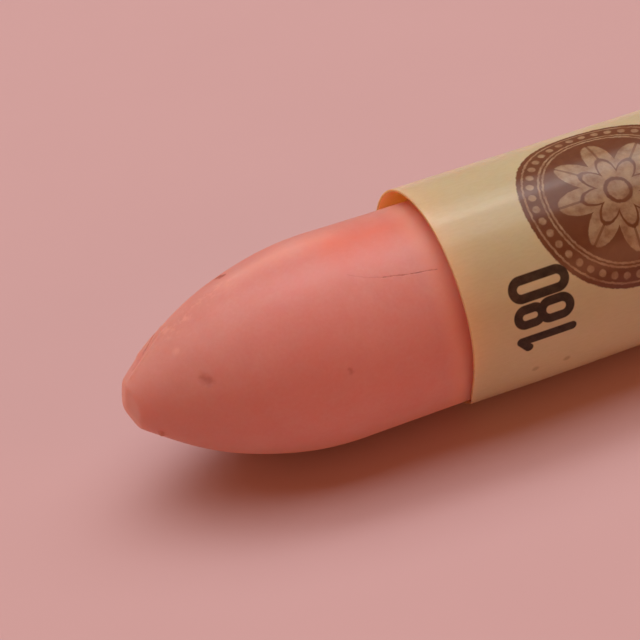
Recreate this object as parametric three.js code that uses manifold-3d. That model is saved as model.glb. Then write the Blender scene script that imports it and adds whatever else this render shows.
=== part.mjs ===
// Oil pastel: a moulded stick of oil, wax and pigment inside a rolled paper sleeve, lying on its side.
// Millimetres, +Z up. The pastel lies along X, its tip toward -X, and the sleeve rests on z = 0.
import * as THREE from 'three';
import { mergeVertices } from 'three/addons/utils/BufferGeometryUtils.js';
import Module from 'manifold-3d';

// The moulded stick
const STICK_LENGTH = 70;
const STICK_DIAMETER = 9.5;
const NOSE_LENGTH = 9.85;
const NOSE_TIP_DIAMETER = 1.73; // the nose's width where its long curve would reach the tip
const TIP_ROUNDING = 0.2; // radius between the long curve and the moulded flat of the tip
const BUTT_ROUNDING = 0.5;

// The paper sleeve
const PAPER_THICKNESS = 0.12;
const SLEEVE_LENGTH = 55;
const SLEEVE_PLAY = 0.66; // bore of the sleeve less the stick's diameter
const LAP_WIDTH = 4; // how far the sheet is glued over its own first edge, measured round the sleeve
const LAP_CLIMB_WIDTH = 1.4; // the stretch before that, where the sheet climbs by its own thickness
const LAP_START = 300; // degrees round the sleeve, on the hidden lower side away from the reader

// How the two go together
const SHOWING_LENGTH = 14.15; // the stick's bare end, from the sleeve's mouth to the tip
const REST_GAP = 0.08; // what is left below the stick, which lies at the bottom of its loose sleeve

// Flats rubbed on the nose by its first strokes. Each one faces a direction that leans from the tip's
// own (-X) and points round the stick, and takes a depth off whatever stands out furthest that way.
const WORN_FLATS = [
  { lean: 14, round: 55, depth: 0.19 },
  { lean: 17, round: 231, depth: 0.23 },
  { lean: 18, round: 150, depth: 0.22 },
  { lean: 53, round: 69, depth: 0.07 },
  { lean: 53, round: 231, depth: 0.07 },
  { lean: 76, round: 65, depth: 0.13 },
];

// Fineness of the round surfaces
const SIDES_ROUND = 72;
const NOSE_STEPS = 18;
const ROUNDING_STEPS = 5;

const stickRadius = STICK_DIAMETER / 2;
const boreRadius = stickRadius + SLEEVE_PLAY / 2;
const sleeveRadius = boreRadius + PAPER_THICKNESS;
const tipX = -STICK_LENGTH / 2;
const mouthX = tipX + SHOWING_LENGTH;
const sleeveAxisZ = sleeveRadius;
const stickAxisZ = sleeveAxisZ - (boreRadius - stickRadius) + REST_GAP;

// Angles round the pastel start at +Y and rise through +Z; the reader looks from about 143 degrees.
const radians = THREE.MathUtils.degToRad;

const wasm = await Module();
wasm.setup();

// Points on a circle, from one angle in radians to another, with both ends
function arcPoints(centreX, centreY, radius, from, to, steps) {
  const points = [];
  for (let i = 0; i <= steps; i += 1) {
    const angle = from + ((to - from) * i) / steps;
    points.push(new THREE.Vector2(centreX + radius * Math.cos(angle), centreY + radius * Math.sin(angle)));
  }
  return points;
}

// Half outline of the stick, x out from its axis and y along it from the tip. The nose is one long
// arc that leaves the straight body without a corner, closed by a small rounding and a flat.
function stickProfile() {
  const drop = stickRadius - NOSE_TIP_DIAMETER / 2;
  const noseRadius = (NOSE_LENGTH ** 2 + drop ** 2) / (2 * drop);
  const noseCentre = new THREE.Vector2(stickRadius - noseRadius, NOSE_LENGTH);
  const reach = Math.sqrt((noseRadius - TIP_ROUNDING) ** 2 - (NOSE_LENGTH - TIP_ROUNDING) ** 2);
  const tipCentre = new THREE.Vector2(noseCentre.x + reach, TIP_ROUNDING);
  const join = Math.atan2(tipCentre.y - noseCentre.y, tipCentre.x - noseCentre.x);
  const buttCentre = new THREE.Vector2(stickRadius - BUTT_ROUNDING, STICK_LENGTH - BUTT_ROUNDING);
  return [
    new THREE.Vector2(0, 0),
    ...arcPoints(tipCentre.x, tipCentre.y, TIP_ROUNDING, -Math.PI / 2, join, ROUNDING_STEPS),
    ...arcPoints(noseCentre.x, noseCentre.y, noseRadius, join, 0, NOSE_STEPS).slice(1),
    ...arcPoints(buttCentre.x, buttCentre.y, BUTT_ROUNDING, 0, Math.PI / 2, ROUNDING_STEPS),
    new THREE.Vector2(0, STICK_LENGTH),
  ];
}

// A closed mesh as a solid that can be cut
function toSolid(geometry) {
  const bare = geometry.clone();
  bare.deleteAttribute('normal');
  bare.deleteAttribute('uv');
  const merged = mergeVertices(bare, 1e-5);
  const mesh = new wasm.Mesh({
    numProp: 3,
    vertProperties: new Float32Array(merged.attributes.position.array),
    triVerts: new Uint32Array(merged.index.array),
  });
  return new wasm.Manifold(mesh);
}

// The solid's faces back as a geometry
function toGeometry(solid) {
  const mesh = solid.getMesh();
  const geometry = new THREE.BufferGeometry();
  geometry.setAttribute('position', new THREE.BufferAttribute(mesh.vertProperties, 3));
  geometry.setIndex(new THREE.BufferAttribute(mesh.triVerts, 1));
  geometry.computeVertexNormals();
  return geometry;
}

// The corner of a mesh that stands out furthest along a direction
function furthestCorner(geometry, facing) {
  const places = geometry.attributes.position;
  const furthest = new THREE.Vector3().fromBufferAttribute(places, 0);
  const corner = new THREE.Vector3();
  for (let i = 1; i < places.count; i += 1) {
    corner.fromBufferAttribute(places, i);
    if (corner.dot(facing) > furthest.dot(facing)) {
      furthest.copy(corner);
    }
  }
  return furthest;
}

// A block to cut away, its lower face the worn plane. Here the stick still stands on its tip along
// Y, so that +Y of the finished pastel is this -X.
function wornBlock(stick, flat) {
  const lean = radians(flat.lean);
  const round = radians(flat.round);
  const facing = new THREE.Vector3(
    -Math.sin(lean) * Math.cos(round),
    -Math.cos(lean),
    Math.sin(lean) * Math.sin(round),
  );
  const size = STICK_DIAMETER * 2;
  const block = new THREE.BoxGeometry(size, size, size);
  block.applyQuaternion(new THREE.Quaternion().setFromUnitVectors(new THREE.Vector3(0, 0, 1), facing));
  const middle = furthestCorner(stick, facing).addScaledVector(facing, size / 2 - flat.depth);
  block.translate(middle.x, middle.y, middle.z);
  return block;
}

function pastelStick() {
  const moulded = new THREE.LatheGeometry(stickProfile(), SIDES_ROUND);
  let solid = toSolid(moulded);
  for (const flat of WORN_FLATS) {
    solid = solid.subtract(toSolid(wornBlock(moulded, flat)));
  }
  const colour = new THREE.Color('#d97e70');
  const material = new THREE.MeshStandardMaterial({ color: colour, roughness: 0.5, metalness: 0 });
  const mesh = new THREE.Mesh(toGeometry(solid), material);
  mesh.name = 'pastel_stick';
  return mesh;
}

// Points round the sleeve, the radius running evenly from one value to another
function sweepPoints(radiusFrom, radiusTo, from, to) {
  const steps = Math.max(2, Math.round(((to - from) / 360) * SIDES_ROUND));
  const points = [];
  for (let i = 0; i <= steps; i += 1) {
    const share = i / steps;
    const radius = radiusFrom + (radiusTo - radiusFrom) * share;
    const angle = radians(from + (to - from) * share);
    points.push(new THREE.Vector2(radius * Math.cos(angle), radius * Math.sin(angle)));
  }
  return points;
}

// One side of the rolled sheet in cross-section: once round, then a climb by the paper's thickness
// and a stretch on top, up to the step at the sheet's cut edge
function rolledSide(radius, stepAngle, topAngle) {
  const climbEnd = LAP_START + 360;
  const climbStart = climbEnd - THREE.MathUtils.radToDeg(LAP_CLIMB_WIDTH / sleeveRadius);
  const raised = radius + PAPER_THICKNESS;
  const side = [
    ...sweepPoints(radius, radius, stepAngle, climbStart),
    ...sweepPoints(radius, raised, climbStart, climbEnd).slice(1),
  ];
  if (topAngle > climbEnd) {
    side.push(...sweepPoints(raised, raised, climbEnd, topAngle).slice(1));
  }
  return side;
}

function paperSleeve() {
  const lapAngle = THREE.MathUtils.radToDeg(LAP_WIDTH / sleeveRadius);
  const outside = rolledSide(sleeveRadius, LAP_START + lapAngle, LAP_START + 360 + lapAngle);
  const inside = rolledSide(boreRadius, LAP_START, LAP_START + 360);
  const section = new THREE.Shape(outside);
  section.holes.push(new THREE.Path(inside));
  const tube = new THREE.ExtrudeGeometry(section, { depth: SLEEVE_LENGTH, steps: 1, bevelEnabled: false });
  const colour = new THREE.Color('#cdb08d');
  const material = new THREE.MeshStandardMaterial({ color: colour, roughness: 0.45, metalness: 0 });
  const mesh = new THREE.Mesh(tube, material);
  mesh.name = 'paper_sleeve';
  return mesh;
}

const pastel = new THREE.Group();

// The stick is turned about Y and the sleeve drawn along Z; both are laid along X.
const stick = pastelStick();
stick.rotation.set(0, 0, -Math.PI / 2);
stick.position.set(tipX, 0, stickAxisZ);
pastel.add(stick);

const sleeve = paperSleeve();
sleeve.rotation.set(0, Math.PI / 2, Math.PI / 2, 'YXZ');
sleeve.position.set(mouthX, 0, sleeveAxisZ);
pastel.add(sleeve);

export default pastel;
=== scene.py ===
# Looks of an oil pastel lying on a pale floor: a moulded stick of coral oil wax in a rolled paper sleeve.
import math
from typing import NamedTuple

import bpy
import numpy as np
from mathutils import Matrix, Vector


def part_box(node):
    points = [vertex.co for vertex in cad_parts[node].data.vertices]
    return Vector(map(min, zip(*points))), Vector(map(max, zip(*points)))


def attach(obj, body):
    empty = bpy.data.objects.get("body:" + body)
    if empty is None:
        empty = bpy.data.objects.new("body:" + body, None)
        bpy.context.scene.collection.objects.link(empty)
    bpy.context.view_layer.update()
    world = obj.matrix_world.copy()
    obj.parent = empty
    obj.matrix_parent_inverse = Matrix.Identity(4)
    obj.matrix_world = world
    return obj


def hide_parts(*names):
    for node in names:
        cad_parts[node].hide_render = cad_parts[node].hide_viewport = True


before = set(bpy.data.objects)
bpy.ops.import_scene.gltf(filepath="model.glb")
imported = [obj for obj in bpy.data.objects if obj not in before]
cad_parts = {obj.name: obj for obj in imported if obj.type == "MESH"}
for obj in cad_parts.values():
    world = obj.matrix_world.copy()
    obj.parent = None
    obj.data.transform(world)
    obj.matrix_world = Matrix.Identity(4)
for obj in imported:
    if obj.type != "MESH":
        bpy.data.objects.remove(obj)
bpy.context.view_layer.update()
stick_low, stick_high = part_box("pastel_stick")
sleeve_low, sleeve_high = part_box("paper_sleeve")

MM = 0.001  # metres in a millimetre; a size is in millimetres unless its comment says metres

# Where the two pieces lie, read from the frame
TIP_X = stick_low.x / MM
BUTT_X = stick_high.x / MM
STICK_RADIUS = (stick_high.z - stick_low.z) / 2 / MM
STICK_Z = (stick_high.z + stick_low.z) / 2 / MM
MOUTH_X = sleeve_low.x / MM
SLEEVE_LENGTH = (sleeve_high.x - sleeve_low.x) / MM
SLEEVE_RADIUS = (sleeve_high.z - sleeve_low.z) / 2 / MM
SLEEVE_Z = (sleeve_high.z + sleeve_low.z) / 2 / MM

# The moulded nose and butt
NOSE_LENGTH = 9.85
NOSE_TIP_RADIUS = 0.865
TIP_ROUNDING = 0.2
BUTT_ROUNDING = 0.5
POLE_RADIUS = 0.06  # the last ring at each end, closed by a fan
STICK_SIDES = 324
FINE_PAST_MOUTH = 2.0  # how far into the sleeve the stick is drawn finely

# Unevenness of the casting: how deep its long waves and its fine ripple go, and over what length the
# waves grow from the tip
CAST_WAVES = 0.030
CAST_RIPPLE = 0.006
CAST_FADE = 1.5
# The butt's face is sunk a little, unevenly, inside its rim
BUTT_SINK = 0.06
BUTT_UNEVENNESS = 0.05
BUTT_RIM = 1.2

# Each worn flat: its lean from the tip's own direction, the angle it faces, its depth and its edge's
# softness
WORN_FLATS = (
    (14, 55, 0.19, 0.03), (17, 231, 0.23, 0.03), (18, 150, 0.22, 0.03),
    (53, 69, 0.07, 0.01), (53, 231, 0.07, 0.02), (76, 65, 0.13, 0.03),
)
# Each swelling, or hollow where its height is below nought: distance from the tip, angle, height, and
# its reach along and round
SWELLINGS = ((7.95, 233, 0.03, 2.4, 2.2), (3.75, 231, 0.02, 1.0, 1.6), (13.15, 57, -0.05, 3.4, 3.0))

# The rolled sheet
PAPER = 0.12  # one thickness of paper with its glue
SHEET = 0.116  # the paper alone
LAP_START = 300.0
LAP_WIDTH = 4.0
LAP_CLIMB_WIDTH = 1.4
CUT_ROUNDING = 0.03
SHEET_STEPS = 290
FINE_LENGTH = 6.0  # the stretch behind the mouth that is drawn finely
FINE_STATIONS = 26
COARSE_STATIONS = 44
SAG = 0.014
# The cut ends wander to and fro, which fades out over a few millimetres of paper
WANDER = 0.03
CUT_FADE = 3.0
# The mouth is cut a little askew: how far back, where round the sleeve, and over how many degrees
ASKEW_DEPTH = 0.65
ASKEW_AT = 240.0
ASKEW_REACH = 22.0
# There the paper is also pressed toward the wax: how far in, where, over how many degrees and how far
# along
PRESSED_DEPTH = 0.13
PRESSED_AT = 205.0
PRESSED_REACH = 30.0
PRESSED_LENGTH = 3.0


class Mark(NamedTuple):
    """Colour on the wax along a run of places, each given by its distance from the tip and its angle
    round the stick in degrees, up from +Y: how far it reaches to either side, how softly it ends, how
    strongly it is laid on, and its tone."""
    places: tuple
    reach: float
    soft: float
    strength: float
    tone: str


# Pits in the casting and a crumb at the nose's lower edge, painted darker
PIT_TONE = "#8c3a33"
LARGE_PIT = Mark(((3.10, 141.5), (3.24, 145.0)), 0.17, 0.34, 0.40, PIT_TONE)
MIDDLE_PIT = Mark(((8.83, 162.0), (8.89, 163.5)), 0.08, 0.20, 0.33, PIT_TONE)
TOP_PIT = Mark(((5.62, 55.0), (5.74, 60.5)), 0.20, 0.14, 0.95, PIT_TONE)
CRUMB = Mark(((1.02, 206.5), (1.07, 208.0)), 0.14, 0.12, 0.50, PIT_TONE)
# A pale spot near the tip, and the ridge along the long worn flat, rubbed paler and with a painted
# highlight laid along it, which is only scuffed nearer the tip
PALE_SPOT = Mark(((2.5, 108.7),), 0.14, 0.3, 0.4, "#f3b9ae")
RUBBED_AND_SHEEN = Mark(((5.8, 77.0), (7.8, 79.5), (10.2, 82.0)), 0.5, 1.7, 0.5, "#f4c2b8")
SCUFFED = Mark(((2.7, 82.0), (5.6, 76.0)), 0.55, 0.8, 1.0, "#f4bdb0")
# A long pale pinkish band along the upper flank, and fuller colour above it
PALE_BAND = Mark(((7.6, 109.0), (10.4, 108.7), (13.2, 111.3)), 0.55, 1.5, 0.4, "#dea4a6")
FULLER = Mark(((10.3, 90.4), (13.2, 91.2)), 0.85, 2.6, 0.52, "#e37156")
# A darker line painted in the groove beside the pushed-back wax
GROOVE = Mark(((0.75, 72.0), (2.35, 61.0)), 0.05, 0.10, 0.5, "#96504a")
# A hairline crack: its places, how open each stretch is, its half width and soft width, its depth where
# it is fully open, and its tone and how strongly that shows
CRACK = ((10.10, 114.2), (10.75, 119.0), (11.47, 122.0), (12.62, 124.9), (13.80, 127.0))
CRACK_OPENNESS = (0.2, 0.3, 0.8, 0.95)
CRACK_HALF_WIDTH = 0.028
CRACK_SOFT = 0.05
CRACK_DEPTH = 0.03
CRACK_TONE = "#85362f"
CRACK_STRENGTH = 0.75
# Round the tip: reach, soft width, strength and tone of the handled wax, and of the wax rubbed on paper
HANDLED = ((5.2, 7.0, 0.28, "#ba978a"), (1.0, 1.6, 0.3, "#c9a596"))
# The wax that the sleeve keeps clean, painted lighter too, as painted light that lifts the shade of
# the sleeve's rim: how far before the mouth it begins, and how far it is full
CLEAN_AND_LIT_BEGINS = 1.3
CLEAN_AND_LIT_FULL = 0.1
CLEAN_AND_LIT_STRENGTH = 0.55

# Each pit's mark, height and width
PIT_RELIEF = ((LARGE_PIT, -0.05, 0.20), (MIDDLE_PIT, -0.02, 0.12), (TOP_PIT, -0.02, 0.24))
# Wax pushed back from the tip by the first strokes: a ridge, the groove beside it and the lump at its
# end, then the crumb, each from one place to another with its height and width
PUSHED = (
    ((0.60, 88.0), (2.50, 74.0), 0.05, 0.12),
    (*GROOVE.places, -0.06, 0.10),
    ((1.30, 57.0), (2.45, 64.0), 0.10, 0.28),
    (*CRUMB.places, 0.16, 0.15),
)

# The print on the sleeve: distance from the mouth, and distance round the paper from +Y upwards
DISC = (8.5, 11.04)
NUMBER = (3.5, 15.11)
DOTS = ((3.09, 18.33), (4.63, 18.33))
# Two faint dots: their radius, which is also their soft width, and how strongly they show
DOT_RADIUS = 0.16
DOT_STRENGTH = 0.35
# The disc: beads on a circle near its rim, three thin rings and an eight-petalled rosette
DISC_RADIUS = 4.45
DISC_RAGGED = 0.12  # how far the ink's edge wanders
BEADS = 40
BEAD_CIRCLE = 3.86
BEAD_RADIUS = 0.17
RINGS = (4.2, 3.48, 3.3)
RING_HALF_WIDTH = 0.045
PETAL_REACH, PETAL_SWELL = 1.65, 1.25
INNER_REACH, INNER_EDGE, INNER_SWELL = 0.9, 1.1, 0.75
MIDDLE_RADIUS, MIDDLE_RING = 0.48, 0.66
VEIN_WIDTH = 0.22
VEIN_STRENGTH = 0.7
# The number: from the middle of one figure to the next, its strokes' half width, and each stroke's
# start, end and loop radius, which is nought where it is a plain line
NUMBER_PITCH = 1.25
NUMBER_HALF_WIDTH = 0.21
NUMBER_STROKES = (
    ((-NUMBER_PITCH + 0.12, -1.24), (-NUMBER_PITCH + 0.12, 1.22), 0),
    ((-NUMBER_PITCH + 0.12, 1.22), (-NUMBER_PITCH - 0.30, 0.86), 0),
    ((0, 0.46), (0, 0.89), 0.35),
    ((0, -0.84), (0, -0.29), 0.40),
    ((NUMBER_PITCH, -0.84), (NUMBER_PITCH, 0.84), 0.40),
)


def colour(code):
    """An sRGB hex value as linear red, green, blue and alpha: the sRGB curve undone channel by
    channel."""
    channels = np.array([int(code[i:i + 2], 16) for i in (1, 3, 5)]) / 255
    linear = np.where(channels <= 0.04045, channels / 12.92, ((channels + 0.055) / 1.055) ** 2.4)
    return (*linear.tolist(), 1.0)


def add(tree, kind, inputs=None, out=0, **settings):
    """Adds one shader node, applies its settings, fills or links its inputs, and returns one output."""
    node = tree.nodes.new("ShaderNode" + kind)
    for key, value in settings.items():
        setattr(node, key, value)
    for key, value in (inputs or {}).items():
        if isinstance(value, bpy.types.NodeSocket):
            tree.links.new(value, node.inputs[key])
        else:
            node.inputs[key].default_value = value
    return node.outputs[out]


def new_material(name):
    """An empty node material and its tree."""
    material = bpy.data.materials.new(name)
    material.use_nodes = True
    material.node_tree.nodes.clear()
    return material, material.node_tree


def stroke(tree, place, start, end):
    """Distance in the pattern's own units from a point to a straight stroke: the point less its nearest
    point on the stroke, found by the clamped share of the stroke's length at which it lies."""
    start, end = Vector(start), Vector(end)
    along = end - start
    offset = add(tree, "VectorMath", {0: place, 1: start}, operation="SUBTRACT")
    if along.length == 0:
        return add(tree, "VectorMath", {0: offset}, out="Value", operation="LENGTH")
    share = add(tree, "VectorMath", {0: offset, 1: along / along.length_squared}, out="Value",
                operation="DOT_PRODUCT")
    share = add(tree, "Clamp", {"Value": share})
    nearest = add(tree, "VectorMath", {0: along, "Scale": share}, operation="SCALE")
    rest = add(tree, "VectorMath", {0: offset, 1: nearest}, operation="SUBTRACT")
    return add(tree, "VectorMath", {0: rest}, out="Value", operation="LENGTH")


def within(tree, distance, reach, soft):
    """One inside a reach and nought outside it, fading over a soft width round it."""
    return add(tree, "MapRange", {
        "Value": distance, "From Min": reach - soft / 2, "From Max": reach + soft / 2,
        "To Min": 1.0, "To Max": 0.0,
    }, interpolation_type="SMOOTHSTEP")


def either(tree, shares):
    """The greatest of several shares, point by point."""
    result = shares[0]
    for share in shares[1:]:
        result = add(tree, "Math", {0: result, 1: share}, operation="MAXIMUM")
    return result


def layered(tree, base, *layers):
    """A base colour with others laid over it in turn, each by its own share from nought to one."""
    for share, tone in layers:
        tone = colour(tone) if isinstance(tone, str) else tone
        base = add(tree, "Mix", {0: share, 6: base, 7: tone}, out=2, data_type="RGBA")
    return base


def relief(tree, *parts):
    """A height map in millimetres: patterns added up, each times its own height."""
    total = 0.0
    for pattern, height in parts:
        total = add(tree, "Math", {0: pattern, 1: height, 2: total}, operation="MULTIPLY_ADD")
    return add(tree, "Bump", {"Strength": 1.0, "Distance": MM, "Height": total})


def painted(tree, place, outline, mark):
    """How strongly a mark colours the wax: one within its reach of its run of places, fading over its
    soft width, times its strength."""
    starts = mark.places[:-1] or mark.places
    ends = mark.places[1:] or mark.places
    near_it = either(tree, [
        within(tree, stroke(tree, place, on_stick(outline, start), on_stick(outline, end)),
               mark.reach, mark.soft)
        for start, end in zip(starts, ends)
    ])
    return add(tree, "Math", {0: near_it, 1: mark.strength}, operation="MULTIPLY")


def make_piece(name, points, faces, face_materials, materials, uv=None):
    """A smooth-shaded mesh from points in millimetres, its faces as rows of corners, one material
    each."""
    mesh = bpy.data.meshes.new(name)
    mesh.from_pydata((points * MM).tolist(), [], faces)
    mesh.update()
    for material in materials:
        mesh.materials.append(material)
    mesh.polygons.foreach_set("material_index", np.asarray(face_materials, dtype=np.int32))
    mesh.polygons.foreach_set("use_smooth", np.ones(len(mesh.polygons), dtype=bool))
    if uv is not None:
        corners = np.empty(len(mesh.loops), dtype=np.int32)
        mesh.loops.foreach_get("vertex_index", corners)
        layer = mesh.uv_layers.new(name="sheet_mm")
        layer.uv.foreach_set("vector", uv[corners].astype(np.float32).ravel())
    piece = bpy.data.objects.new(name, mesh)
    bpy.context.scene.collection.objects.link(piece)
    return piece


def arc(centre_x, centre_r, radius, start, end, count):
    """Points at even angles on a circle, both ends included."""
    angle = np.linspace(start, end, count)
    return np.stack([centre_x + radius * np.cos(angle), centre_r + radius * np.sin(angle)], 1)


def line(start, end, count):
    """Points at even spacing on a straight line, both ends included."""
    return np.array(start) + np.linspace(0, 1, count)[:, None] * (np.array(end) - np.array(start))


def stick_outline():
    """Half outline of the stick, distance from the tip and from the axis: the tip's flat, a small
    rounding, one long arc that meets the straight body without a corner, the body, the butt's rounding
    and its face. The long arc's radius is (length squared + drop squared) over twice the drop."""
    drop = STICK_RADIUS - NOSE_TIP_RADIUS
    radius = (NOSE_LENGTH ** 2 + drop ** 2) / (2 * drop)
    centre_r = STICK_RADIUS - radius
    reach = math.sqrt((radius - TIP_ROUNDING) ** 2 - (NOSE_LENGTH - TIP_ROUNDING) ** 2)
    tip_r = centre_r + reach
    join = math.atan2(reach, TIP_ROUNDING - NOSE_LENGTH)
    length = BUTT_X - TIP_X
    fine_end = MOUTH_X - TIP_X + FINE_PAST_MOUTH
    butt_r = STICK_RADIUS - BUTT_ROUNDING
    return np.concatenate([
        line((0, POLE_RADIUS), (0, tip_r), 14)[:-1],
        arc(TIP_ROUNDING, tip_r, TIP_ROUNDING, math.pi, join, 7)[:-1],
        arc(NOSE_LENGTH, centre_r, radius, join, math.pi / 2, 130)[:-1],
        line((NOSE_LENGTH, STICK_RADIUS), (fine_end, STICK_RADIUS), 50)[:-1],
        line((fine_end, STICK_RADIUS), (length - BUTT_ROUNDING, STICK_RADIUS), 34)[:-1],
        arc(length - BUTT_ROUNDING, butt_r, BUTT_ROUNDING, math.pi / 2, 0, 8)[:-1],
        line((length, butt_r), (length, POLE_RADIUS), 26),
    ])


def on_stick(outline, place):
    """Where a place lies on the smooth moulded surface, from its distance along and its angle round."""
    along, degrees = place
    first = int(np.argmax(outline[:, 0] > 1e-6))
    side = outline[first:-1]
    radius = float(np.interp(along, side[:, 0], side[:, 1]))
    angle = math.radians(degrees)
    return np.array([TIP_X + along, radius * math.cos(angle), STICK_Z + radius * math.sin(angle)])


def near(outline, points, start, end, reach):
    """How near points lie to a short straight line between two places: e to the power of minus the
    square of their distance from it over a reach."""
    a, b = on_stick(outline, start), on_stick(outline, end)
    share = np.clip((points - a) @ (b - a) / ((b - a) @ (b - a)), 0, 1)
    away = np.linalg.norm(points - a - share[..., None] * (b - a), axis=2)
    return np.exp(-(away / reach) ** 2)


def waves(along, angle, seed, count, longest, shortest, most_round):
    """A smooth seeded unevenness from minus one to one: a mean of cosines whose lengths along run
    between two sizes and which close on themselves round the piece, each weighted by its length."""
    random = np.random.default_rng(seed)
    lengths = np.exp(random.uniform(math.log(shortest), math.log(longest), count))
    rounds = random.integers(0, most_round + 1, count)
    phases = random.uniform(0, 2 * math.pi, count)
    signs = random.choice([-1, 1], count)
    heights = lengths / lengths.sum()
    total = np.zeros(np.broadcast(along, angle).shape)
    for length, turns, phase, sign, height in zip(lengths, rounds, phases, signs, heights):
        total += height * np.cos(2 * math.pi * along / length + sign * turns * angle + phase)
    return total


def cast_relief(outline, points, angle):
    """How far the cast skin stands off the smooth moulded surface: long waves and a fine ripple, both
    inward only, then pits, swellings and a hollow as bell curves, and the sunken butt, whose face is
    uneven by one set of waves across it and one up it."""
    along, radius = outline[:, :1], outline[:, 1:]
    grown = np.clip(along / CAST_FADE, 0, 1)
    skin = -CAST_WAVES * grown * (0.5 + waves(
        along, angle, seed=7, count=40, longest=16.0, shortest=2.5, most_round=5))
    skin = np.minimum(skin, 0.0)
    skin = skin - CAST_RIPPLE * (1 + waves(
        along, angle, seed=8, count=60, longest=2.0, shortest=0.7, most_round=24))
    for mark, height, width in PIT_RELIEF:
        skin = skin + height * near(outline, points, *mark.places, width)
    for from_tip, towards, height, reach_along, reach_round in SWELLINGS:
        turned = np.remainder(angle - math.radians(towards) + math.pi, 2 * math.pi) - math.pi
        skin = skin + height * np.exp(-((along - from_tip) / reach_along) ** 2
                                      - (turned * STICK_RADIUS / reach_round) ** 2)
    on_butt = along > BUTT_X - TIP_X - 1e-6
    face = on_butt * np.clip((STICK_RADIUS - BUTT_ROUNDING - radius) / BUTT_RIM, 0, 1)
    sunk = BUTT_SINK
    for seed, way in ((9, radius * np.cos(angle)), (10, radius * np.sin(angle))):
        sunk = sunk + BUTT_UNEVENNESS * waves(
            way, 0 * angle, seed, count=12, longest=6.0, shortest=1.5, most_round=0)
    return skin - face * sunk


def moulded_stick(materials):
    """A surface of revolution round X over (distance along the outline, angle round), moved along its
    own normal by the relief of the casting, then pressed flat by each worn plane: a point past a plane
    goes back by softness x log(1 + exp(excess / softness)). The pushed-back wax and the crumb stand on
    that, and a fan of triangles closes each end."""
    outline = stick_outline()
    rows, sides = len(outline), STICK_SIDES
    angle = np.linspace(0, 2 * math.pi, sides, endpoint=False)[None, :]
    along, radius = outline[:, :1], outline[:, 1:]
    slope = np.gradient(outline, axis=0)
    slope /= np.linalg.norm(slope, axis=1, keepdims=True)
    normal_x, normal_r = -slope[:, 1:], slope[:, :1]
    points = np.stack([
        np.broadcast_to(TIP_X + along, (rows, sides)),
        radius * np.cos(angle),
        STICK_Z + radius * np.sin(angle),
    ], 2)
    normals = np.stack([
        np.broadcast_to(normal_x, (rows, sides)), normal_r * np.cos(angle), normal_r * np.sin(angle),
    ], 2)
    points = points + cast_relief(outline, points, angle)[..., None] * normals
    for lean, towards, depth, soft in WORN_FLATS:
        lean, towards = math.radians(lean), math.radians(towards)
        facing = np.array([
            -math.cos(lean), math.sin(lean) * math.cos(towards), math.sin(lean) * math.sin(towards),
        ])
        heights = points @ facing
        excess = (heights - heights.max() + depth) / soft
        points = points - (soft * np.logaddexp(0, excess))[..., None] * facing
    for start, end, height, width in PUSHED:
        points = points + (height * near(outline, points, start, end, width))[..., None] * normals
    points[..., 0] = np.clip(points[..., 0], TIP_X, BUTT_X)
    tip, butt = points[0].mean(0), points[-1].mean(0)
    vertices = np.concatenate([points.reshape(-1, 3), [tip, butt]])
    row, side = np.meshgrid(np.arange(rows - 1), np.arange(sides), indexing="ij")
    here, after = row * sides + side, row * sides + (side + 1) % sides
    quads = np.stack([here, after, after + sides, here + sides], 2)
    ring = np.arange(sides)
    closing = (ring + 1) % sides
    last = (rows - 1) * sides
    tip_fan = np.stack([np.full(sides, rows * sides), closing, ring], 1)
    butt_fan = np.stack([np.full(sides, rows * sides + 1), last + ring, last + closing], 1)
    faces = quads.reshape(-1, 4).tolist() + tip_fan.tolist() + butt_fan.tolist()
    return make_piece("moulded_stick", vertices, faces, np.zeros(len(faces)), materials)


def sheet_section():
    """The sheet's section along X, distance from the mouth and depth below its face, as one closed
    loop, and how many points its face has: a long thin rectangle with rounded corners, and finer steps
    near the mouth. It runs along the face, round four points of the far cut, back along the inside and
    round four points of the mouth's cut."""
    stations = np.concatenate([
        np.linspace(0, FINE_LENGTH, FINE_STATIONS)[:-1],
        np.linspace(FINE_LENGTH, SLEEVE_LENGTH, COARSE_STATIONS),
    ])
    stations = CUT_ROUNDING + stations * (SLEEVE_LENGTH - 2 * CUT_ROUNDING) / SLEEVE_LENGTH
    corner = CUT_ROUNDING * (1 - math.sqrt(0.5))
    low, high = CUT_ROUNDING, SHEET - CUT_ROUNDING
    rim = np.array([[corner, corner], [0, low], [0, high], [corner, SHEET - corner]])
    outside = np.stack([stations, np.zeros(len(stations))], 1)
    inside = np.stack([stations[::-1], np.full(len(stations), SHEET)], 1)
    far_rim = np.stack([SLEEVE_LENGTH - rim[:, 0], rim[:, 1]], 1)
    return np.concatenate([outside, far_rim, inside, rim[::-1]]), len(stations)


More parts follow.
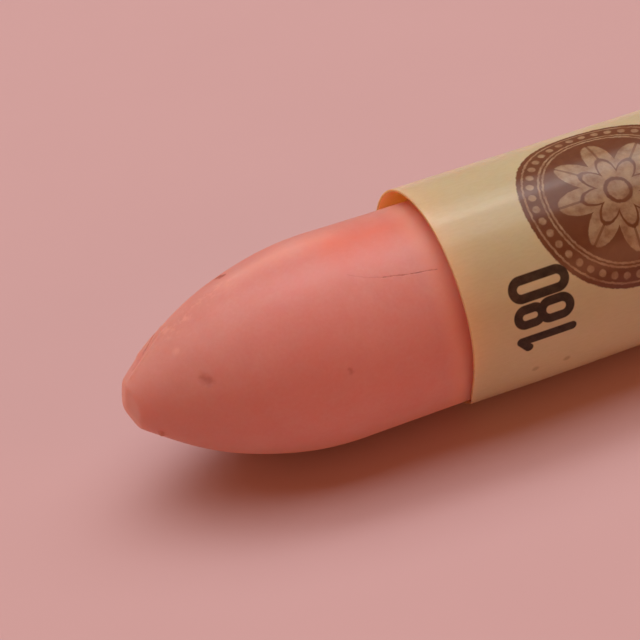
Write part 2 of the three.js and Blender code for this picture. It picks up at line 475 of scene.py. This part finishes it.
def rolled_paper(materials):
    """A thin rounded rectangle, the sheet's section along X, carried round a spiral: once round at one
    radius, then up by the paper's thickness and on over the sheet's own first edge. The whole sheet
    comes in by low waves that close round the sleeve, its cut ends wander by a few hundredths, and bell
    curves cut the mouth askew and press it in at the lower front."""
    top = LAP_START + 360 + math.degrees(LAP_WIDTH / SLEEVE_RADIUS)
    climb_start = LAP_START + 360 - math.degrees(LAP_CLIMB_WIDTH / SLEEVE_RADIUS)
    theta = np.linspace(LAP_START, top, SHEET_STEPS)[None, :]
    angle = np.radians(theta)
    share = np.clip((theta - climb_start) / (LAP_START + 360 - climb_start), 0, 1)
    outer_radius = SLEEVE_RADIUS + PAPER * share * share * (3 - 2 * share)
    loop, count = sheet_section()
    along, depth = loop[:, :1], loop[:, 1:]
    sag = SAG * (1 + waves(along, angle, seed=21, count=24, longest=40.0, shortest=9.0, most_round=3))
    at_mouth = np.clip(1 - along / CUT_FADE, 0, 1)
    at_far_end = np.clip(1 - (SLEEVE_LENGTH - along) / CUT_FADE, 0, 1)
    mouth_cut = 1 + waves(0 * along, angle, seed=22, count=10, longest=10.0, shortest=4.0, most_round=6)
    far_cut = 1 + waves(0 * along, angle, seed=23, count=10, longest=10.0, shortest=4.0, most_round=6)
    askew = ASKEW_DEPTH * np.exp(-((theta - ASKEW_AT - 360) / ASKEW_REACH) ** 2)
    shift = WANDER * mouth_cut * at_mouth - WANDER * far_cut * at_far_end + askew * at_mouth
    pressed = PRESSED_DEPTH * np.exp(-((theta - PRESSED_AT - 360) / PRESSED_REACH) ** 2
                                     - (along / PRESSED_LENGTH) ** 2)
    radius = outer_radius - depth - sag - pressed
    points = np.stack([
        MOUTH_X + along + shift, radius * np.cos(angle), SLEEVE_Z + radius * np.sin(angle),
    ], 2)
    profile, steps = len(loop), SHEET_STEPS
    uv = np.stack([
        np.broadcast_to(along, (profile, steps)),
        np.broadcast_to((angle - 2 * math.pi) * SLEEVE_RADIUS, (profile, steps)),
    ], 2).reshape(-1, 2)
    edge, step = np.meshgrid(np.arange(profile), np.arange(steps - 1), indexing="ij")
    here, after = edge * steps + step, (edge + 1) % profile * steps + step
    quads = np.stack([here, here + 1, after + 1, after], 2)
    # The printed face is the first material, the inside the second, and every cut edge the third
    on_outside = np.arange(profile) < count - 1
    on_inside = (np.arange(profile) >= count + 4) & (np.arange(profile) < 2 * count + 3)
    side_of = np.where(on_outside, 0, np.where(on_inside, 1, 2))
    faces = quads.reshape(-1, 4).tolist()
    face_materials = np.repeat(side_of, steps - 1).tolist()
    # The two long cut edges, closed by a strip of quads and a rounded face at either end of each
    first = np.arange(count - 1)
    facing_inside = 2 * count + 3 - first
    start = np.stack([first, first + 1, facing_inside - 1, facing_inside], 1) * steps
    end = start[:, ::-1] + steps - 1
    mouth_end = [0, *range(2 * count + 3, 2 * count + 8)]
    far_end = [*range(count - 1, count + 5)]
    caps = start.tolist() + end.tolist()
    for corner_loop in (mouth_end, far_end):
        caps.append([i * steps for i in corner_loop])
        caps.append([i * steps + steps - 1 for i in reversed(corner_loop)])
    faces += caps
    face_materials += [2] * len(caps)
    return make_piece("rolled_paper", points.reshape(-1, 3), faces, face_materials, materials, uv)


def oil_wax():
    """Oil pastel: pigment in wax and mineral oil, cast in a polished mould. To the eye it is a satin,
    slightly see-through body that glows red where light goes in, under a thin greasy film."""
    material, tree = new_material("oil_wax_cast_satin")
    outline = stick_outline()
    place = add(tree, "TexCoord", out="Object")
    place = add(tree, "VectorMath", {0: place, "Scale": 1 / MM}, operation="SCALE")
    # Bloom: paler patches of 2 to 3 mm where wax has come to the surface
    bloom = add(tree, "TexNoise", {"Vector": place, "Scale": 0.38, "Detail": 4.0, "Roughness": 0.55})
    bloom = add(tree, "MapRange", {"Value": bloom, "From Min": 0.45, "From Max": 0.75, "To Max": 0.35})
    # Pigment that isn't quite evenly ground in: patches of about a millimetre
    patches = add(tree, "TexNoise", {"Vector": place, "Scale": 1.1, "Detail": 3.0, "Roughness": 0.6})
    patches = add(tree, "MapRange", {
        "Value": patches, "From Min": 0.35, "From Max": 0.7, "To Max": 0.3})
    # Pigment grain, drawn at 0.15 mm where the real one is a few hundredths
    grain = add(tree, "TexNoise", {"Vector": place, "Scale": 6.5, "Detail": 2.0})
    speckle = add(tree, "MapRange", {"Value": grain, "From Min": 0.3, "From Max": 0.7, "To Max": 0.10})
    # A wobble of 0.2 mm that makes the marks' edges ragged, and the crack a little uneven
    wobble = add(tree, "TexNoise", {"Vector": place, "Scale": 4.5, "Detail": 3.0}, out="Color")
    wobble = add(tree, "VectorMath", {0: wobble, 1: (-0.5, -0.5, -0.5)}, operation="ADD")
    ragged = add(tree, "VectorMath", {0: wobble, 1: (0.3, 0.3, 0.3), 2: place},
                 operation="MULTIPLY_ADD")
    uneven = add(tree, "VectorMath", {0: wobble, 1: (0.07, 0.07, 0.07), 2: place},
                 operation="MULTIPLY_ADD")
    # The pits and the crumb, painted darker
    pit_marks = either(tree, [
        painted(tree, ragged, outline, mark) for mark in (LARGE_PIT, MIDDLE_PIT, TOP_PIT, CRUMB)
    ])
    # From just before the mouth of the sleeve on the wax is brighter: where no finger has rubbed it,
    # and as painted light that lifts the shade of the sleeve's rim
    along = add(tree, "VectorMath", {0: place, 1: (1, 0, 0)}, out="Value", operation="DOT_PRODUCT")
    clean_and_lit = add(tree, "MapRange", {
        "Value": along, "From Min": MOUTH_X - CLEAN_AND_LIT_BEGINS, "From Max": MOUTH_X - CLEAN_AND_LIT_FULL,
        "To Max": CLEAN_AND_LIT_STRENGTH,
    }, interpolation_type="SMOOTHSTEP")
    # Scuffs come in flecks of 0.4 mm
    flecks = add(tree, "TexNoise", {"Vector": place, "Scale": 2.4, "Detail": 4.0, "Roughness": 0.6})
    flecks = add(tree, "MapRange", {"Value": flecks, "From Min": 0.50, "From Max": 0.68, "To Max": 0.45})
    scuffs = add(tree, "Math", {0: painted(tree, place, outline, SCUFFED), 1: flecks},
                 operation="MULTIPLY")
    # The nose is greyer from handling, and the tip more so where it has been rubbed on paper
    tip = (TIP_X, 0, STICK_Z)
    from_tip = stroke(tree, ragged, tip, tip)
    handled = []
    for reach, soft, strength, tone in HANDLED:
        greyed = within(tree, from_tip, reach, soft)
        greyed = add(tree, "Math", {0: greyed, 1: strength}, operation="MULTIPLY")
        handled.append((greyed, tone))
    crack = either(tree, [
        painted(tree, uneven, outline, Mark(ends, CRACK_HALF_WIDTH, CRACK_SOFT, openness, CRACK_TONE))
        for ends, openness in zip(zip(CRACK, CRACK[1:]), CRACK_OPENNESS)
    ])
    dark_crack = add(tree, "Math", {0: crack, 1: CRACK_STRENGTH}, operation="MULTIPLY")
    base = layered(
        tree, colour("#d29894"), (bloom, "#dcafaa"), (patches, "#d5877d"), (speckle, "#c4604f"),
        (pit_marks, PIT_TONE),
        (painted(tree, place, outline, PALE_SPOT), PALE_SPOT.tone),
        # The worn ridge: rubbed paler, and a painted highlight along it
        (painted(tree, ragged, outline, RUBBED_AND_SHEEN), RUBBED_AND_SHEEN.tone),
        (painted(tree, place, outline, PALE_BAND), PALE_BAND.tone),
        (painted(tree, place, outline, FULLER), FULLER.tone),
        # Clean wax at the mouth, and painted light over the shade of the sleeve's rim
        (clean_and_lit, "#f9aa92"),
        (scuffs, SCUFFED.tone),
        (painted(tree, ragged, outline, GROOVE), GROOVE.tone),
        *handled,
        (dark_crack, CRACK_TONE),
    )
    # Skin of the casting: a soft unevenness of about a millimetre, with finer grain on it
    skin = add(tree, "TexNoise", {"Vector": place, "Scale": 1.1, "Detail": 3.0, "Roughness": 0.45})
    normal = relief(tree, (skin, 0.018), (grain, 0.0015), (crack, -CRACK_DEPTH))
    satin = add(tree, "MapRange", {
        "Value": skin, "From Min": 0.3, "From Max": 0.7, "To Min": 0.42, "To Max": 0.50})
    shader = add(tree, "BsdfPrincipled", {
        "Base Color": base, "Roughness": satin, "IOR": 1.45, "Specular IOR Level": 0.3,
        "Normal": normal, "Subsurface Weight": 0.75, "Subsurface Radius": (1.0, 0.28, 0.16),
        "Subsurface Scale": 4.5 * MM, "Sheen Weight": 0.5, "Sheen Roughness": 0.5,
        "Sheen Tint": colour("#ffb89c"),
    })
    add(tree, "OutputMaterial", {"Surface": shader}, out=slice(0, 0))
    return material


def petal_share(tree, distance, lobes, reach, swell):
    """One inside a rosette whose petals reach out by a length plus a swell times the lobes."""
    rim = add(tree, "Math", {0: lobes, 1: swell, 2: reach}, operation="MULTIPLY_ADD")
    past = add(tree, "Math", {0: distance, 1: rim}, operation="SUBTRACT")
    return within(tree, past, 0.0, soft=0.10)


def disc_share(tree, place):
    """The brown disc, and the share of pale paper that shows inside it: beads between two rings at the
    rim and an eight-petalled rosette at the middle, plain shapes in distance and angle."""
    centred = add(tree, "VectorMath", {0: place, 1: (*DISC, 0)}, operation="SUBTRACT")
    # The ink's edge is ragged at 0.2 mm
    ragged = add(tree, "TexNoise", {"Vector": place, "Scale": 5.0, "Detail": 2.0})
    distance = add(tree, "VectorMath", {0: centred}, out="Value", operation="LENGTH")
    distance = add(tree, "Math", {0: distance, 1: DISC_RAGGED / 2}, operation="SUBTRACT")
    distance = add(tree, "Math", {0: ragged, 1: DISC_RAGGED, 2: distance}, operation="MULTIPLY_ADD")
    axes = add(tree, "SeparateXYZ", {0: centred}, out=slice(0, 3))
    turn = add(tree, "Math", {0: axes[1], 1: axes[0]}, operation="ARCTAN2")
    disc = within(tree, distance, DISC_RADIUS, soft=0.07)
    # Beads: distance to the nearest of many points on a circle
    pitch = 2 * math.pi * BEAD_CIRCLE / BEADS
    bead_turn = add(tree, "Math", {0: turn, 1: BEADS / (2 * math.pi), 2: BEADS},
                    operation="MULTIPLY_ADD")
    bead_turn = add(tree, "Math", {0: bead_turn}, operation="FRACT")
    bead = add(tree, "CombineXYZ", {
        0: add(tree, "Math", {0: bead_turn, 1: pitch, 2: -pitch / 2}, operation="MULTIPLY_ADD"),
        1: add(tree, "Math", {0: distance, 1: BEAD_CIRCLE}, operation="SUBTRACT"),
    })
    bead = add(tree, "VectorMath", {0: bead}, out="Value", operation="LENGTH")
    beads = within(tree, bead, BEAD_RADIUS, soft=0.08)
    rings = []
    for radius in RINGS:
        away = add(tree, "Math", {0: distance, 1: radius}, operation="SUBTRACT")
        away = add(tree, "Math", {0: away}, operation="ABSOLUTE")
        rings.append(within(tree, away, RING_HALF_WIDTH, soft=0.05))
    # Lobes and veins: the size of the cosine and of the sine of four times the angle, the veins' times
    # the distance too, so that they are as wide at the middle as at the rim
    fourfold = add(tree, "Math", {0: turn, 1: 4.0}, operation="MULTIPLY")
    lobes = add(tree, "Math", {0: fourfold}, operation="COSINE")
    lobes = add(tree, "Math", {0: lobes}, operation="ABSOLUTE")
    veins = add(tree, "Math", {0: fourfold}, operation="SINE")
    veins = add(tree, "Math", {0: veins}, operation="ABSOLUTE")
    veins = add(tree, "Math", {0: veins, 1: distance}, operation="MULTIPLY")
    veins = within(tree, veins, VEIN_WIDTH, soft=0.12)
    veins = add(tree, "Math", {0: veins, 1: VEIN_STRENGTH}, operation="MULTIPLY")
    petals = petal_share(tree, distance, lobes, PETAL_REACH, PETAL_SWELL)
    inner_edge = petal_share(tree, distance, lobes, INNER_EDGE, INNER_SWELL)
    for taken in (inner_edge, veins):
        petals = add(tree, "Math", {0: petals, 1: taken}, operation="SUBTRACT", use_clamp=True)
    inner = petal_share(tree, distance, lobes, INNER_REACH, INNER_SWELL)
    middle_ring = within(tree, distance, MIDDLE_RING, soft=0.08)
    inner = add(tree, "Math", {0: inner, 1: middle_ring}, operation="SUBTRACT", use_clamp=True)
    middle = within(tree, distance, MIDDLE_RADIUS, soft=0.08)
    return disc, either(tree, [beads, petals, inner, middle, *rings])


def number_share(tree, place):
    """The ink of a plain number, 1 8 0, built from straight strokes and from rounded loops: a loop is
    everything at one distance from a short stroke. It reads across the sleeve, its tops to the tip."""
    glyph = add(tree, "Mapping", {
        "Vector": place, "Location": (NUMBER[1], NUMBER[0], 0), "Rotation": (0, 0, math.pi / 2),
        "Scale": (-1, 1, 1),
    })
    strokes = []
    for start, end, loop in NUMBER_STROKES:
        away = stroke(tree, glyph, (*start, 0), (*end, 0))
        if loop:
            away = add(tree, "Math", {0: away, 1: loop}, operation="SUBTRACT")
            away = add(tree, "Math", {0: away}, operation="ABSOLUTE")
        strokes.append(within(tree, away, NUMBER_HALF_WIDTH, soft=0.06))
    return either(tree, strokes)


# Thin paper lets some light through, warmer than it came in
PAPER_GLOW = {
    "Subsurface Weight": 0.85, "Subsurface Radius": (1.0, 0.50, 0.28), "Subsurface Scale": 1.0 * MM,
}


def coated_paper():
    """Cream paper with a calendered, lightly varnished face, letterpress printed, then rolled and glued.
    To the eye it has a soft narrow gloss along its top, faint fibres under it, and flat brown ink."""
    material, tree = new_material("coated_paper_rolled_printed")
    place = add(tree, "UVMap", uv_map="sheet_mm")
    # Clouding of the pulp, 2 mm across, and fibres drawn 0.1 mm wide where real ones are 0.03
    clouds = add(tree, "TexNoise", {"Vector": place, "Scale": 0.45, "Detail": 4.0})
    cloudy = add(tree, "MapRange", {"Value": clouds, "From Min": 0.35, "From Max": 0.7, "To Max": 0.35})
    laid = add(tree, "Mapping", {"Vector": place, "Scale": (2.2, 8.0, 1.0)})
    fibres = add(tree, "TexNoise", {"Vector": laid, "Scale": 1.0, "Detail": 4.0, "Roughness": 0.65})
    fibrous = add(tree, "MapRange", {
        "Value": fibres, "From Min": 0.4, "From Max": 0.75, "To Max": 0.16})
    cream = layered(tree, colour("#dbc39c"), (cloudy, "#d2b78e"), (fibrous, "#bd9a70"))
    # Ink that has worn thin in patches of 0.5 mm
    worn = add(tree, "TexNoise", {"Vector": place, "Scale": 1.9, "Detail": 5.0, "Roughness": 0.6})
    bare = add(tree, "MapRange", {
        "Value": worn, "From Min": 0.35, "From Max": 0.7, "To Min": 0.48, "To Max": 0.12})
    haze = add(tree, "MapRange", {"Value": worn, "From Min": 0.45, "From Max": 0.8, "To Max": 0.2})
    speckle = add(tree, "MapRange", {
        "Value": worn, "From Min": 0.3, "From Max": 0.75, "To Min": 1.0, "To Max": 0.93})
    disc, pale = disc_share(tree, place)
    pale = add(tree, "Math", {0: pale, 1: bare}, operation="MULTIPLY")
    brown = layered(tree, colour("#683a14"), (haze, "#8e6036"), (pale, cream))
    number = number_share(tree, place)
    stamped = add(tree, "Math", {0: number, 1: speckle}, operation="MULTIPLY")
    dots = either(tree, [
        within(tree, stroke(tree, place, (*at, 0), (*at, 0)), DOT_RADIUS, soft=DOT_RADIUS) for at in DOTS
    ])
    dots = add(tree, "Math", {0: dots, 1: DOT_STRENGTH}, operation="MULTIPLY")
    printed = layered(tree, cream, (disc, brown), (stamped, "#231502"), (dots, "#6b4a25"))
    normal = relief(tree, (fibres, 0.006), (clouds, 0.02))
    # Inked paper is a little rougher than bare paper
    calendered = add(tree, "MapRange", {
        "Value": fibres, "From Min": 0.3, "From Max": 0.7, "To Min": 0.50, "To Max": 0.60})
    inked = either(tree, [number, disc])
    rough = add(tree, "Math", {0: inked, 1: 0.04, 2: calendered}, operation="MULTIPLY_ADD")
    # The number is stamped over the varnish in matt ink
    varnish = add(tree, "Math", {0: number, 1: -0.5, 2: 0.65}, operation="MULTIPLY_ADD")
    shader = add(tree, "BsdfPrincipled", {
        "Base Color": printed, "Roughness": rough, "IOR": 1.5, "Specular IOR Level": 0.2,
        "Normal": normal, "Coat Weight": varnish, "Coat Roughness": 0.18, "Coat IOR": 1.5, **PAPER_GLOW,
    })
    add(tree, "OutputMaterial", {"Surface": shader}, out=slice(0, 0))
    return material


def bare_paper(name, tone, shade):
    """Uncoated paper, as it left the mill or where a knife cut it. To the eye it is matt and soft, with
    its open fibres as a faint uneven darkening, and it glows where light comes through."""
    material, tree = new_material(name)
    place = add(tree, "TexCoord", out="Object")
    # Fibre clumps, drawn at 0.2 mm
    fibres = add(tree, "TexNoise", {"Vector": place, "Scale": 5 / MM, "Detail": 4.0, "Roughness": 0.7})
    clumps = add(tree, "MapRange", {"Value": fibres, "From Min": 0.35, "From Max": 0.7, "To Max": 0.6})
    normal = add(tree, "Bump", {"Strength": 1.0, "Distance": 0.01 * MM, "Height": fibres})
    shader = add(tree, "BsdfPrincipled", {
        "Base Color": layered(tree, colour(tone), (clumps, shade)), "Roughness": 0.85, "IOR": 1.45,
        "Normal": normal, **PAPER_GLOW,
    })
    add(tree, "OutputMaterial", {"Surface": shader}, out=slice(0, 0))
    return material


# The floor, in metres: half its width, and its height, a hundredth of a millimetre below the pastel
FLOOR_HALF_WIDTH = 0.32
FLOOR_Z = -1e-5


def pale_floor():
    """A square sheet of pulp card under the pastel, dyed pale pink and pressed flat with no coating. To
    the eye it is an even matt pink with the faintest clouding."""
    material, tree = new_material("matt_pink_card")
    place = add(tree, "TexCoord", out="Object")
    # Clouding of the pulp, about a centimetre across
    clouds = add(tree, "TexNoise", {"Vector": place, "Scale": 0.09 / MM, "Detail": 3.0})
    cloudy = add(tree, "MapRange", {"Value": clouds, "From Min": 0.35, "From Max": 0.7, "To Max": 0.25})
    shader = add(tree, "BsdfPrincipled", {
        "Base Color": layered(tree, colour("#cbaeb2"), (cloudy, "#c6a9ad")), "Roughness": 0.8,
        "IOR": 1.45,
    })
    add(tree, "OutputMaterial", {"Surface": shader}, out=slice(0, 0))
    half = FLOOR_HALF_WIDTH
    corners = [(x * half, y * half, FLOOR_Z) for x, y in ((-1, -1), (1, -1), (1, 1), (-1, 1))]
    mesh = bpy.data.meshes.new("floor")
    mesh.from_pydata(corners, [], [(0, 1, 2, 3)])
    mesh.materials.append(material)
    floor = bpy.data.objects.new("floor", mesh)
    bpy.context.scene.collection.objects.link(floor)
    return floor


LAMP_DISTANCE = 0.45  # in metres
LAMP_AIM = 8  # how far behind the tip the lamps point
# Each lamp: its name, the way to it, its width and depth in metres, its level and its tone
LAMPS = (
    ("soft_key", (0.03, 0.25, 0.968), 1.00, 0.42, 0.54, "#ffffff"),
    ("front_bounce", (0.60, -0.76, 0.25), 0.24, 0.24, 0.13, "#ffb082"),
    ("back_gloss", (0.05, 0.37, 0.93), 0.50, 0.09, 0.13, "#ffffff"),
)


def studio_light():
    """One wide soft lamp high above and a little behind the pastel, a weak warm one low before it, as if
    thrown back by pink card, a long narrow one further back for the paper's gloss, and an even fill. For
    unit brightness a lamp's power is pi squared x the root of (distance squared + half width squared)
    x (distance squared + half depth squared)."""
    aim = Vector(((TIP_X + LAMP_AIM) * MM, 0, SLEEVE_Z * MM))
    for name, towards, width, depth, level, tone in LAMPS:
        towards = Vector(towards).normalized()
        lamp = bpy.data.lights.new(name, "AREA")
        lamp.shape = "ELLIPSE"
        lamp.size, lamp.size_y = width, depth
        lamp.color = colour(tone)[:3]
        across = LAMP_DISTANCE ** 2 + width ** 2 / 4
        deep = LAMP_DISTANCE ** 2 + depth ** 2 / 4
        lamp.energy = level * math.pi ** 2 * math.sqrt(across * deep)
        lit = bpy.data.objects.new(name, lamp)
        lit.location = aim + towards * LAMP_DISTANCE
        lit.rotation_mode = "QUATERNION"
        lit.rotation_quaternion = towards.to_track_quat("Z", "Y")
        bpy.context.scene.collection.objects.link(lit)
    world = bpy.data.worlds.new("studio")
    bpy.context.scene.world = world
    world.use_nodes = True
    tree = world.node_tree
    tree.nodes.clear()
    # Camera, glossy and transmission rays see a plain backdrop, and every other ray the warm fill
    rays = add(tree, "LightPath", out=slice(0, None))
    seen = either(tree, [rays[0], rays[3], rays[6]])
    fill = add(tree, "Background", {"Color": colour("#ff9f6a"), "Strength": 0.40})
    backdrop = add(tree, "Background", {"Color": colour("#84655f"), "Strength": 1.0})
    both = add(tree, "MixShader", {0: seen, 1: fill, 2: backdrop})
    add(tree, "OutputWorld", {"Surface": both}, out=slice(0, 0))


# The viewpoint fitted to the outlines of the nose and the sleeve: degrees round and up, and how far
# from a place in front of the mouth
CAMERA_ROUND = -23.21
CAMERA_UP = 51.83
CAMERA_DISTANCE = 69.902
CAMERA_AIM = (MOUTH_X - 5.0, 0, 6.282)
# The outlines of a round thing don't tell how far the camera is swung about its axis. The width of its
# shadow and the stick's place in the mouth of the sleeve do: this many degrees lower.
CAMERA_SWING = 17.0


def camera():
    """The photograph's viewpoint: the fitted one, turned about the sleeve's own axis by the swing."""
    data = bpy.data.cameras.new("camera")
    data.lens = 90.0
    data.sensor_width = 36.0
    data.clip_start, data.clip_end = 0.005, 20.0
    eye = bpy.data.objects.new("camera", data)
    turn, rise = math.radians(CAMERA_ROUND), math.radians(CAMERA_UP)
    back = Vector((math.sin(turn) * math.cos(rise), -math.cos(turn) * math.cos(rise), math.sin(rise)))
    upright = Matrix.Translation((Vector(CAMERA_AIM) + back * CAMERA_DISTANCE) * MM)
    upright @= (-back).to_track_quat("-Z", "Y").to_matrix().to_4x4()
    axis = Matrix.Translation((0, 0, SLEEVE_Z * MM))
    swing = Matrix.Rotation(math.radians(CAMERA_SWING), 4, "X")
    eye.matrix_world = axis @ swing @ axis.inverted() @ upright
    bpy.context.scene.collection.objects.link(eye)
    bpy.context.scene.camera = eye


stick = moulded_stick([oil_wax()])
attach(stick, "stick")
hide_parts("pastel_stick")

sleeve = rolled_paper([
    coated_paper(),
    # The inside's peach tone is painted glow from the wax in the gap; the paper itself is off-white
    bare_paper("uncoated_paper_inside_painted_glow", "#f8b59a", "#eda686"),
    bare_paper("paper_cut_edge", "#c9a87e", "#a9865c"),
])
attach(sleeve, "sleeve")
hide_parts("paper_sleeve")

pale_floor()
studio_light()
camera()
bpy.context.scene.view_settings.view_transform = "Standard"
